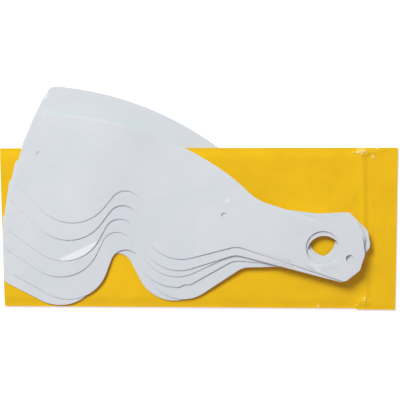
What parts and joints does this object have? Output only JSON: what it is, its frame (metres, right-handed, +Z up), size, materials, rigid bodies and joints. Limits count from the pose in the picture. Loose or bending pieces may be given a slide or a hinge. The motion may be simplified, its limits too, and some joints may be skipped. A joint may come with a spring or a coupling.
{
  "type": "goggle tear-off film set",
  "caption": "Fanned die-cut goggle tear-off films with pull tabs, on the flat film pouch they are packed in.",
  "frame": {"origin": "centre of the set's footprint, on the surface that it lies on", "axes": "+X along the pouch from its mouth to its sealed end, +Y across the pouch towards the side that the fan opens to, +Z up"},
  "size_m": [0.3002, 0.1694, 0.0111],
  "materials": {
    "film": "satin white film",
    "pouch": "printed yellow film, soft gloss"
  },
  "bodies": {
    "pouch": {"pouch_front": "pouch", "pouch_back": "pouch"},
    "tear_off_1": {"tear_off_1": "film"},
    "tear_off_2": {"tear_off_2": "film"},
    "tear_off_3": {"tear_off_3": "film"},
    "tear_off_4": {"tear_off_4": "film"},
    "tear_off_5": {"tear_off_5": "film"},
    "tear_off_6": {"tear_off_6": "film"},
    "tear_off_7": {"tear_off_7": "film"}
  },
  "joints": [
    {"name": "tear_off_1_swivel", "type": "hinge", "parent": "pouch", "child": "tear_off_1", "pos_m": [0.09626, -0.03738, 0.01035], "axis": [-0.0192, 0, 0.9998], "range_deg": [-41.8, 21.2]},
    {"name": "tear_off_2_swivel", "type": "hinge", "parent": "pouch", "child": "tear_off_2", "pos_m": [0.09547, -0.04038, 0.00969], "axis": [-0.0192, 0, 0.9998], "range_deg": [-44.9, 18.1]},
    {"name": "tear_off_3_swivel", "type": "hinge", "parent": "pouch", "child": "tear_off_3", "pos_m": [0.09468, -0.03088, 0.00902], "axis": [-0.0192, 0, 0.9998], "range_deg": [-52.4, 10.6]},
    {"name": "tear_off_4_swivel", "type": "hinge", "parent": "pouch", "child": "tear_off_4", "pos_m": [0.0924, -0.03308, 0.00833], "axis": [-0.0192, 0, 0.9998], "range_deg": [-55.4, 7.6]},
    {"name": "tear_off_5_swivel", "type": "hinge", "parent": "pouch", "child": "tear_off_5", "pos_m": [0.09781, -0.03278, 0.00778], "axis": [-0.0192, 0, 0.9998], "range_deg": [-60.6, 2.4]},
    {"name": "tear_off_6_swivel", "type": "hinge", "parent": "pouch", "child": "tear_off_6", "pos_m": [0.09042, -0.02988, 0.00699], "axis": [-0.0192, 0, 0.9998], "range_deg": [-62.8, 0.2]},
    {"name": "tear_off_7_swivel", "type": "hinge", "parent": "pouch", "child": "tear_off_7", "pos_m": [0.09727, -0.03448, 0.00013], "axis": [0, 0, 1], "range_deg": [-36.9, 26.1]}
  ]
}
